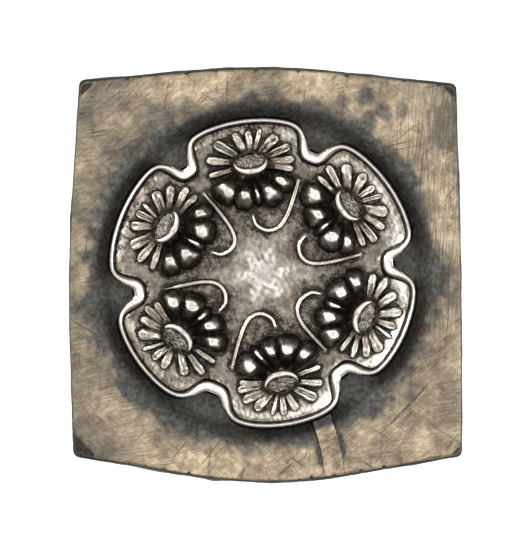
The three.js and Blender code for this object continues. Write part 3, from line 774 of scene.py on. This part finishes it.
def block_steel():
    """The block: tan brushed face, soot in the hollow round the medallion, dark scale on the sides."""
    n = Nodes("block_steel")
    soot = n.attribute("soot")
    side = n.attribute("side")
    right = n.attribute("right")
    broad = n.noise(0.14, 6, 0.65)
    fine = n.noise(1.0, 8, 0.72)
    vertical = n.streaks(87, 5.0, 0.30, 1.3)
    rising = n.streaks(42, 5.0, 0.35, 5.2)
    falling = n.streaks(-40, 5.0, 0.35, 9.6)
    level = n.streaks(10, 5.0, 0.35, 13.4)
    cuts = n.mix(right, rising, vertical)
    elsewhere = n.math("SUBTRACT", 1.0, n.math("MULTIPLY", right, 0.8))
    fallen = n.ramp(n.noise(0.10, 4, 0.6), (0.4, 0.1), (0.62, 0.75))
    cuts = n.mix(n.math("MULTIPLY", fallen, elsewhere), cuts, falling)
    laid = n.ramp(n.noise(0.08, 4, 0.6), (0.42, 0.1), (0.62, 0.75))
    cuts = n.mix(n.math("MULTIPLY", laid, elsewhere), cuts, level)
    tint = n.mix(n.ramp(broad, (0.36, 0), (0.62, 1)), WARM_STEEL, TAN_STEEL)
    tint = n.brighten(tint, n.noise(0.42, 6, 0.7, distortion=0.6), 2.2)
    tint = n.brighten(tint, cuts, 2.5)
    tint = n.brighten(tint, fine, 2.4)
    dirt = n.swayed(soot, fine, 0.9)
    dirt = n.swayed(dirt, cuts, -0.8)
    dirt = n.swayed(dirt, broad, -0.8)
    dirt = n.ramp(dirt, (0.1, 0), (0.9, 0.96))
    soots = n.mix(n.ramp(n.noise(1.5, 6, 0.7), (0.42, 0), (0.66, 1)), SOOT_BLACK, SOOT_GREY)
    soots = n.mix(n.ramp(n.noise(0.3, 5, 0.7), (0.54, 0), (0.66, 0.7)), soots, RUST)
    face = n.mix(dirt, tint, soots)
    for degrees, seed in ((38, 21.0), (52, 27.5), (-33, 33.1), (84, 39.7), (12, 44.9)):
        scratches = n.streaks(degrees, 2.4, 0.09, seed, detail=2.0)
        face = n.mix(n.ramp(scratches, (0.665, 0), (0.7, 0.75)), face, SCRATCH)
    pits = n.noise(1.7, 3, 0.6)
    face = n.mix(n.ramp(pits, (0.7, 0), (0.75, 0.8)), face, SCRATCH)
    scale = n.mix(n.ramp(fine, (0.4, 0), (0.62, 1)), SCALE_DARK, SCALE_BROWN)
    scale = n.mix(n.ramp(n.noise(0.09, 6, 0.62), (0.5, 0), (0.66, 0.75)), scale, SCALE_GREY)
    scale = n.mix(n.ramp(n.noise(0.16, 8, 0.7), (0.55, 0), (0.68, 0.8)), scale, SCALE_RUST)
    scale = n.brighten(scale, n.streaks_up(3.0, 0.12, 4.4), 2.0)
    colour = n.mix(side, face, scale)
    worn = n.swayed(n.attribute("edge"), fine, 1.2)
    colour = n.mix(n.ramp(worn, (0.45, 0), (0.9, 0.7)), colour, TAN_STEEL)
    roughness = n.math("ADD", 0.34, n.math("MULTIPLY", dirt, 0.16))
    roughness = n.math("ADD", roughness, n.math("MULTIPLY", side, 0.2))
    brushed = n.math("MULTIPLY", cuts, n.math("SUBTRACT", 1.0, n.math("MULTIPLY", side, 0.8)))
    height = n.math("ADD", brushed, n.math("MULTIPLY", fine, 0.8))
    n.shader.inputs["Specular Tint"].default_value = SPECULAR_TINT
    metallic = n.math("SUBTRACT", 1.0, n.math("MULTIPLY", side, 0.6))
    return n.finish(colour, roughness, n.bump(height, 0.8, 0.07), metallic)


def screw_steel():
    """The screw: dark and plain."""
    n = Nodes("screw_steel")
    colour = n.mix(n.ramp(n.noise(0.8, 4), (0.4, 0), (0.65, 1)), SCREW_DARK, SCREW_LIGHT)
    return n.finish(colour, 0.45, n.bump(n.noise(4, 4), 0.5, 0.03))


RELIEF_STEEL = relief_steel()
SEED_STEEL = seed_steel()
BLOCK_STEEL = block_steel()
SCREW_STEEL = screw_steel()


# -------------------- medallion pieces
def outer_reach(angles):
    return collar_edge(angles) + outer_length(angles) * SPARE


def inner_reach(angles):
    return collar_edge(angles) + INNER_LENGTH * SPARE


def outer_shade(angles, share, x, y):
    """Painted light on the low petals: a painted highlight towards their tips, painted shade at their roots,
    and more shade at the flower's sides than outwards.
    """
    return (0.5 + 0.5 * smoothstep((share - 0.1) / 0.45)) * (1 - 0.25 * np.abs(np.sin(np.radians(angles))))


def inner_shade(angles, share, x, y):
    """The high petals keep a painted highlight on their crowns only, with painted shade down their steep
    flanks.
    """
    return 1 - 0.75 * smoothstep((CAVITY.at(CAVITY.slope, x, y) - 0.3) / 0.45)


def add_flower(number, flower):
    name = f"flower_{number}"
    petal_patch(name + "_outer", flower, outer_rise, OUTER_SPAN, (440, 84), outer_reach, outer_shade,
                name + "_outer_petals")
    petal_patch(name + "_inner", flower, inner_rise, INNER_SPAN, (300, 96), inner_reach, inner_shade,
                name + "_inner_petals")
    add_collar(name + "_ring", flower, name + "_collar")
    add_disc(name + "_disc", flower, name + "_seed_disc")


def add_collar(name, flower, node):
    angles = np.arange(0, 360, 2.0)
    top, wall = collar_top(angles)[:, None], collar_wall(angles)[:, None]
    t = np.array([-1, -1, -0.97, -0.88, -0.7, -0.45, -0.2, 0, 0.2, 0.45, 0.7, 0.88, 0.97, 1, 1])[None, :]
    z = top - 0.14 * wall * t**2 - 0.45 * wall * t**8
    rho = collar_edge(angles)[:, None] + (t - 1) * wall
    z[:, [0, -1]] = -SUNK
    a = np.radians(angles)[:, None]
    x, y = from_flower(flower, rho * np.cos(a), rho * np.sin(a))
    # painted highlight on the collar's top and broad crescent, painted shade down its flanks and along its
    # thin outward side
    wear_and_shade = np.clip(CAVITY.wear_and_shade(x, y) + 0.1, 0, 1) * smoothstep((z - 0.5 * top) / (0.4 * top))
    wear_and_shade = wear_and_shade * (0.1 + 0.9 * smoothstep((wall - 0.1) / 0.16))
    swept(name, node, x, y, z, wear_and_shade, closed=True)


def add_disc(name, flower, node):
    angles = np.arange(0, 360, 3.0)
    shares = np.concatenate([[1.0, 1.0], np.linspace(0.97, 0.04, 26)])
    a = np.radians(angles)[None, :]
    edge = (disc_edge(angles) - 0.02)[None, :]
    rho = edge * shares[:, None]
    u, v = rho * np.cos(a), rho * np.sin(a)
    stipple = Noise(55, 0.5)(u, v) * 0.04
    tilt = COLLAR_LOW - 0.3 + (COLLAR_HIGH - COLLAR_LOW) * (1 - u / COLLAR_ALONG) / 2
    z = tilt - 0.12 * shares[:, None] ** 4 + stipple
    z[0, :] = -SUNK
    x, y = from_flower(flower, u, v)
    swept(name, node, x, y, z, CAVITY.wear_and_shade(x, y), material=SEED_STEEL)


def add_stem(number, flower):
    line = stem_line(flower)
    along = np.gradient(line, axis=0)
    along /= np.linalg.norm(along, axis=1, keepdims=True)
    side = np.stack([-along[:, 1], along[:, 0]], axis=1)
    taper = stem_taper(np.linspace(0, 1, len(line)))[:, None]
    turn = np.radians(np.linspace(0, 180, 13))[None, :]
    across = np.cos(turn) * STEM_HALF_WIDTH * taper
    z = np.sin(turn) ** 0.7 * STEM_RISE * taper
    z[:, [0, -1]] = -SUNK
    x = line[:, :1] + side[:, :1] * across
    y = line[:, 1:] + side[:, 1:] * across
    ground = ground_rise(line[:, 0], line[:, 1])[:, None]
    share = np.linspace(0, 1, len(line))[:, None]
    wear_and_shade = 0.16 + CAVITY.wear_and_shade(x, y) * (0.45 + 0.4 * smoothstep((share - 0.3) / 0.5))
    # painted shade: the stem darkens down its sides to its foot
    wear_and_shade = wear_and_shade * smoothstep((z - 0.1) / 0.3)
    swept(f"stem_{number}_bead", f"stem_{number}", x, y, z + ground, wear_and_shade)


def add_rim():
    degrees = np.arange(0, 360, 1 / 3)
    line = polar(crest_radius(degrees), degrees)
    share = notch_share(degrees)
    lobe, fold = curve_through(RIM_ON_LOBE, 26), curve_through(RIM_AT_FOLD, 26)
    sections = lobe[None] + (fold - lobe)[None] * share[:, None, None]
    uneven = 1 + 0.05 * Noise(41, 4)(line[:, 0], line[:, 1])[:, None]
    tracks = [grow(line, sections[:, k, 0]) for k in range(sections.shape[1])]
    x = np.stack([track[:, 0] for track in tracks], axis=1)
    y = np.stack([track[:, 1] for track in tracks], axis=1)
    z = np.where(sections[:, :, 1] > 0.3, sections[:, :, 1] * uneven, sections[:, :, 1])
    z = np.minimum(z, RIM_RISE + 0.04)
    wear_and_shade = np.clip(CAVITY.wear_and_shade(x, y), 0, 1)
    # painted highlight along the rim's crest, and painted shade down its outer wall
    wear_and_shade = np.maximum(wear_and_shade, smoothstep((z - 0.75) / 0.35))
    wear_and_shade = np.where(sections[:, :, 0] > 0.2, wear_and_shade * smoothstep((z - 0.4) / 0.7), wear_and_shade)
    swept("rim", "rim_bead", x, y, z, wear_and_shade, closed=True)


def plate_rings():
    """From the top of the dome out over the ground, down the edge, and in round the spigot to its bore."""
    degrees = np.arange(0, 360, 0.4)
    edge = crest_radius(degrees) + rim_half_width(degrees)
    rings = []
    for share in np.concatenate([[0.004], np.linspace(0.012, 0.995, 170)]):
        x, y = polar(edge * share, degrees).T
        rise = ground_rise(x, y)
        rings.append((x, y, rise if share < 0.96 else np.minimum(rise, 0)))
    x, y = polar(edge, degrees).T
    shoulder = POCKET_LEVEL - GROUND_LEVEL
    foot = shoulder - SPIGOT_DEPTH
    for level in (0.0, -0.08, -0.6, -1.4, shoulder):
        rings.append((x, y, np.full_like(x, level)))
    for radius, level in ((SPIGOT_RADIUS, shoulder), (SPIGOT_RADIUS, foot),
                          (TAPPED_RADIUS, foot), (TAPPED_RADIUS, foot + TAPPED_DEPTH)):
        x, y = polar(radius, degrees).T
        rings.append((x, y, np.full_like(x, level)))
    return np.moveaxis(np.array(rings), 1, 0)


def plate_wear_and_light(x, y, z):
    """A bright worn star on the dome, darker ground among the stems, and a painted highlight in a band
    inside the rim.
    """
    radius, angle = np.hypot(x, y), np.degrees(np.arctan2(y, x))
    arms = sum(bell(wrap(angle - at) / 14) for at, _ in NOTCHES)
    star = bell(radius / (2.3 + 1.9 * arms)) * (1 + 0.5 * RIPPLE(x, y) + 0.3 * ROLL(x * 3, y * 3))
    dimmed = 0.42 + 0.58 * smoothstep((radius - 9) / 4)
    wear_and_shade = CAVITY.wear_and_shade(x, y) * dimmed + 0.75 * star
    inside = crest_radius(angle) - radius
    # painted highlight: a band inside the rim, brightest towards one side
    lightened = 0.4 + 0.28 * np.cos(np.radians(angle + PAINTED_LIGHT_TOWARDS))
    lightened = lightened + 0.18 * ROLL(x, y) + 0.24 * RIPPLE(x * 1.4, y * 1.4)
    near_rim = smoothstep((4.6 - inside) / 2.2) * smoothstep((radius - 13.5) / 3)
    clear = smoothstep((CAVITY.at(CAVITY.fine, x, y) + 0.14) / 0.1)
    clear = np.maximum(clear, 0.8 * smoothstep((1.8 - inside) / 0.5))
    wear_and_shade = np.clip(np.maximum(wear_and_shade, lightened * near_rim * clear), 0, 1)
    return np.where(z < -0.05, 0.1, wear_and_shade)


def add_plate():
    """The plate's rings run downwards, so they are followed the other way round than the other sweeps."""
    x, y, z = plate_rings()[:, :, ::-1]
    swept("plate", "relief_plate", x, y, z, plate_wear_and_light(x, y, z))


# -------------------- block
DENT = Noise(61, 9)
HAMMER = Noise(62, 3.2)
NICK = Noise(63, 1.6)
BLOCK_COLUMNS = 1080
AROUND = np.arange(BLOCK_COLUMNS) * 360.0 / BLOCK_COLUMNS
OUTLINE = block_outline(BLOCK_COLUMNS) + RELIEF
NICKS = 0.22 * smoothstep(NICK(OUTLINE[:, 0], OUTLINE[:, 1]) * 1.3 - 0.5)
NICKS = NICKS * (0.3 + 0.7 * smoothstep((np.abs(OUTLINE[:, 1]) - 20) / 4))


def corner_planes(x, y):
    """Height of the lowest knocked-off corner flat over each place, from the block's centre."""
    lowest = np.full_like(x, np.inf)
    for name, corner in block_corners().items():
        corner = np.array(corner)
        out = corner / np.linalg.norm(corner)
        start = np.linalg.norm(corner) - CORNER_LOSS[name]
        past = x * out[0] + y * out[1] - start
        lowest = np.minimum(lowest, BLOCK_HEIGHT - past * math.tan(math.radians(CORNER_SLOPE)))
    return lowest


def to_strip(x, y):
    """Distance from places on the face to the middle of the raised strip."""
    start = polar(LOBE_RADIUS, STRIP_FROM) + RELIEF
    end = np.array([STRIP_END, -BLOCK_DEPTH / 2])
    return distance_to(curve_through([start, (start + end) / 2 + [0.35, 0], end], 60), x, y)


def gouge(x, y):
    """1 in the middle of the long scratch on the face, fading to its edges and ends."""
    (ax, ay), (bx, by) = GOUGE
    length = math.hypot(bx - ax, by - ay)
    t = np.clip(((x - ax) * (bx - ax) + (y - ay) * (by - ay)) / length**2, 0, 1)
    across = ((x - ax) * (by - ay) - (y - ay) * (bx - ax)) / length + 0.25 * np.sin(math.pi * t)
    width = 0.08 + 0.16 * np.sin(math.pi * t) * (1.3 - t)
    return bell(across / width) * smoothstep(t / 0.15) * smoothstep((1 - t) / 0.5)


def face_height(x, y):
    """Height of the block's face at places given from the block's centre."""
    r = np.hypot(x - RELIEF[0], y - RELIEF[1])
    hollow = 1 - smoothstep((r - LOBE_RADIUS + 0.6) / HOLLOW_FADE)
    z = BLOCK_HEIGHT - HOLLOW_DEPTH * hollow
    strip = smoothstep((STRIP_HALF_WIDTH + 0.25 - to_strip(x, y)) / 0.5)
    z = np.maximum(z, BLOCK_HEIGHT + STRIP_RISE - 2.2 * (1 - strip))
    z = z + (0.03 * DENT(x, y) + 0.012 * HAMMER(x, y)) * (1 - hollow)
    return z - 0.16 * gouge(x, y)


def worn_edges(points, side):
    """1 along the edges of the face and of its knocked-off corners, and along the block's foot, else 0."""
    z = points[..., 2]
    turn = np.abs(np.roll(side, 1, axis=0) - side) * (np.abs(z - BLOCK_HEIGHT) < 0.3)
    facet = 4 * side * (1 - side)
    foot = bell((z - BASE_EDGE) / 0.3) * (side > 0.5) * 0.6
    for corner in block_corners().values():
        away = np.hypot(points[..., 0] - corner[0], points[..., 1] - corner[1])
        foot = np.maximum(foot, 0.55 * bell(away / 1.6) * (side > 0.5) * (z > 0.1))
    radius = np.hypot(points[..., 0] - RELIEF[0], points[..., 1] - RELIEF[1])
    return np.clip(np.maximum(turn, facet) + foot, 0, 1) * (radius > HOLLOW_RADIUS)


# A station is a line round the block as plan points, its heights, and how much it counts as a side
def flat(level):
    return np.full(BLOCK_COLUMNS, float(level))


def bore_station(radius, level):
    return RELIEF + polar(radius, AROUND), flat(level), 1.0


def block_line(level, inset):
    """The block's outline drawn in by an inset, and near the face by its nicks and its worn ends too."""
    worn = inset + NICKS * smoothstep((level - BLOCK_HEIGHT + 1.6) / 1.6)
    ends = worn * (1 + 0.6 * smoothstep((level - BLOCK_HEIGHT + 2) / 2))
    return OUTLINE * np.stack([1 - 2 * worn / BLOCK_WIDTH, 1 - 2 * ends / BLOCK_DEPTH], axis=1)


def base_stations():
    """From the top of the screw hole down through the counterbore, and out over the base."""
    bore = [
        (SCREW_HOLE_RADIUS, COUNTERBORE_DEPTH + 0.5),
        (SCREW_HOLE_RADIUS, COUNTERBORE_DEPTH),
        (COUNTERBORE_RADIUS - 0.02, COUNTERBORE_DEPTH),
        (COUNTERBORE_RADIUS, COUNTERBORE_DEPTH - 0.02),
        (COUNTERBORE_RADIUS, BORE_EDGE),
        (COUNTERBORE_RADIUS + 0.25, 0.02),
        (COUNTERBORE_RADIUS + BORE_EDGE, 0.0),
    ]
    stations = [bore_station(radius, level) for radius, level in bore]
    inner, outer = stations[-1][0], block_line(0, BASE_INSET + BASE_EDGE)
    for share in np.linspace(0.05, 0.995, 12):
        stations.append((inner + (outer - inner) * share, flat(0), 1.0))
    return stations


def side_levels():
    """Levels and insets from the base up to the face: an eased foot, the swelling side, an eased edge."""
    foot = [(0.0, 1.0), (0.08, 0.93), (0.5, 0.5), (BASE_EDGE - 0.08, 0.07), (BASE_EDGE + 0.05, 0.0)]
    levels = [(level, BASE_INSET + BASE_EDGE * share) for level, share in foot]
    for level in np.linspace(2, BLOCK_HEIGHT - FACE_EDGE_DROP - 0.15, 48):
        if level < WIDEST_LEVEL:
            inset = BASE_INSET * ((WIDEST_LEVEL - level) / (WIDEST_LEVEL - BASE_EDGE)) ** 1.8
        else:
            inset = FACE_INSET * ((level - WIDEST_LEVEL) / (WIDEST_BELOW_FACE - FACE_EDGE_DROP)) ** 2
        levels.append((level, inset))
    for share in np.linspace(0.05, 0.98, 10):
        drop = FACE_EDGE_DROP * (1 - share) ** 1.3
        levels.append((BLOCK_HEIGHT - drop, FACE_INSET + FACE_EDGE * share**1.6))
    return levels


def side_stations():
    """Up the uneven sides, under the knocked-off corners."""
    stations = []
    unrolled = AROUND / 2
    for level, inset in side_levels():
        line = block_line(level, inset)
        rough = smoothstep((level - 0.2) / 2) * smoothstep((BLOCK_HEIGHT - level) / 2)
        dent = 0.12 * DENT(unrolled, flat(level)) + 0.05 * HAMMER(unrolled, flat(level)) - 0.17
        out = (line - RELIEF) / np.linalg.norm(line - RELIEF, axis=1, keepdims=True)
        line = line + out * (dent * rough)[:, None]
        z = np.minimum(flat(level), corner_planes(line[:, 0], line[:, 1]))
        stations.append((line, z, 1.0 if level < BLOCK_HEIGHT - 0.08 else 0.0))
    return stations


def face_stations():
    """From the edge of the face to the pocket, and down the pocket and the spigot's bore."""
    outer = block_line(BLOCK_HEIGHT, FACE_INSET + FACE_EDGE)
    pocket = RELIEF + polar(crest_radius(AROUND) + rim_half_width(AROUND) + FIT_GAP, AROUND)
    stations = []
    for share in np.linspace(0.002, 1, 92):
        line = outer + (pocket - outer) * share
        z, corner = face_height(line[:, 0], line[:, 1]), corner_planes(line[:, 0], line[:, 1])
        stations.append((line, np.minimum(z, corner), smoothstep((z - corner - 0.06) / 0.1)))
    bore_floor = POCKET_LEVEL - SPIGOT_DEPTH - FIT_GAP
    stations.append((pocket, flat(POCKET_LEVEL), 0.0))
    stations.append(bore_station(SPIGOT_RADIUS + FIT_GAP, POCKET_LEVEL))
    stations.append(bore_station(SPIGOT_RADIUS + FIT_GAP, bore_floor))
    stations.append(bore_station(SCREW_HOLE_RADIUS, bore_floor))
    return stations


def block_soot(x, y):
    """How dark the face is: soot round the medallion, old stains, and darker bands beside the strip."""
    r = np.hypot(x - RELIEF[0], y - RELIEF[1])
    ragged = r + 0.9 * DENT(x, y) + 0.7 * HAMMER(x, y) + 0.45 * PEEN(x, y)
    soot = np.interp(ragged, *np.transpose(SOOT))
    soot = soot + 0.07 * smoothstep((-x - 12) / 10) - 0.08 * smoothstep((x - 10) / 10)
    lightened = 0.33 - 0.05 * np.sign(y)
    soot = soot - lightened * smoothstep((np.abs(y) - 20.5) / 3.5) * smoothstep((19 - np.abs(x)) / 8)
    dark_corners = np.clip(smoothstep((8 - x) / 16) + smoothstep((y - 2) / 12), 0, 1)
    soot = soot + 0.3 * smoothstep((r - 26.5) / 4) * dark_corners
    for stain_x, stain_y, stain_size, darkness in STAINS:
        away = np.hypot(x - stain_x, y - stain_y) / stain_size + 0.3 * HAMMER(x, y)
        soot = np.maximum(soot, darkness * (1 - smoothstep(away - 0.4)))
    away = to_strip(x, y)
    on_strip = smoothstep((STRIP_HALF_WIDTH - 0.05 - away) / 0.25)
    groove = bell((away - STRIP_HALF_WIDTH) / 0.24)
    groove = groove + 0.8 * smoothstep((STRIP_HALF_WIDTH + 1.4 - away) / 1.5)
    beside = groove * smoothstep((27.0 - r) / 2.5)
    strip_soot = 0.02 + 0.9 * smoothstep((21.6 - r) / 0.7)
    soot = np.maximum(soot, beside) * (1 - on_strip) + strip_soot * on_strip
    return np.clip(soot + 0.5 * gouge(x, y), 0, 1)


def add_block():
    stations = base_stations() + side_stations() + face_stations()
    points = np.stack([np.column_stack([line, z]) for line, z, _ in stations])
    side = np.stack([np.broadcast_to(share, BLOCK_COLUMNS) for _, _, share in stations])
    x, y = points[..., 0], points[..., 1]
    looks = {
        "side": side,
        "soot": block_soot(x, y),
        "right": smoothstep((x - 13) / 6) * smoothstep((y + 12) / 8),
        "edge": worn_edges(points, side),
    }
    rows, columns = side.shape
    faces = grid_faces(rows, columns, loop_rows=True, loop_columns=True)
    attributes = {key: values.ravel() for key, values in looks.items()}
    add_mesh("block", points.reshape(-1, 3), faces[:, ::-1], attributes=attributes,
             material=BLOCK_STEEL, replaces=["die_block"])


# -------------------- the object
add_block()
add_plate()
add_rim()
for number, flower in enumerate(FLOWERS, start=1):
    add_flower(number, flower)
    add_stem(number, flower)

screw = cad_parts["insert_screw"]
screw.data.materials.clear()
screw.data.materials.append(SCREW_STEEL)


# -------------------- floor, light and camera
def add_floor():
    size = 1.5
    mesh = bpy.data.meshes.new("floor")
    under = -0.05 * MM
    corners = [(-size, -size, under), (size, -size, under), (size, size, under), (-size, size, under)]
    mesh.from_pydata(corners, [], [(0, 1, 2, 3)])
    floor = bpy.data.objects.new("floor", mesh)
    bpy.context.scene.collection.objects.link(floor)
    n = Nodes("floor_paper")
    tone = n.mix(n.noise(0.05, 3), (0.93, 0.93, 0.93, 1), (0.96, 0.96, 0.96, 1))
    n.shader.inputs["Emission Color"].default_value = (1, 1, 1, 1)
    n.shader.inputs["Emission Strength"].default_value = 0.55
    mesh.materials.append(n.finish(tone, 0.9, metallic=0.0))


# Brightness of the surround at degrees from straight above
SKY = [(90, 0.22), (60, 0.12), (47, 0.3), (38, 0.95), (14, 1.0), (7, 0.38), (0, 0.32)]
SKY_STRENGTH = 1.6
# Camera: its distance in metres, and the block's width as a share of the picture's height
CAMERA_DISTANCE = 0.7
CAMERA_ASIDE = -0.07 * MM
BLOCK_SHARE = 0.71455


def add_sky():
    """A soft studio surround: a broad bright ring high up, darker straight above and near the horizon."""
    world = bpy.data.worlds.new("studio")
    bpy.context.scene.world = world
    world.use_nodes = True
    tree = world.node_tree
    background = tree.nodes["Background"]
    where = tree.nodes.new("ShaderNodeTexCoord")
    split = tree.nodes.new("ShaderNodeSeparateXYZ")
    ramp = tree.nodes.new("ShaderNodeValToRGB")
    tree.links.new(where.outputs["Generated"], split.inputs[0])
    tree.links.new(split.outputs["Z"], ramp.inputs["Fac"])
    tree.links.new(ramp.outputs["Color"], background.inputs["Color"])
    elements = ramp.color_ramp.elements
    while len(elements) < len(SKY):
        elements.new(0.5)
    for element, (from_zenith, level) in zip(elements, SKY):
        element.position = math.cos(math.radians(from_zenith))
        element.color = (level, level, level, 1)
    background.inputs["Strength"].default_value = SKY_STRENGTH


def add_light(name, place, size, power):
    data = bpy.data.lights.new(name, "AREA")
    data.shape = "SQUARE"
    data.size = size
    data.energy = power
    light = bpy.data.objects.new(name, data)
    light.location = place
    bpy.context.scene.collection.objects.link(light)
    toward = -light.location
    light.rotation_euler = toward.to_track_quat("-Z", "Y").to_euler()


def add_camera():
    """Straight down on the face. The long side of the picture takes the sensor's width."""
    data = bpy.data.cameras.new("camera")
    data.sensor_width = 36
    data.lens = data.sensor_width * CAMERA_DISTANCE / MM * BLOCK_SHARE / BLOCK_WIDTH
    camera = bpy.data.objects.new("camera", data)
    camera.location = (CAMERA_ASIDE, 0.0, CAMERA_DISTANCE + WIDEST_LEVEL * MM)
    bpy.context.scene.collection.objects.link(camera)
    bpy.context.scene.camera = camera


add_floor()
add_sky()
add_light("left_box", (-0.35, 0.25, 0.45), 0.3, 1.2)
add_light("right_box", (0.4, -0.1, 0.45), 0.3, 0.8)
add_camera()
bpy.context.scene.view_settings.view_transform = "Standard"
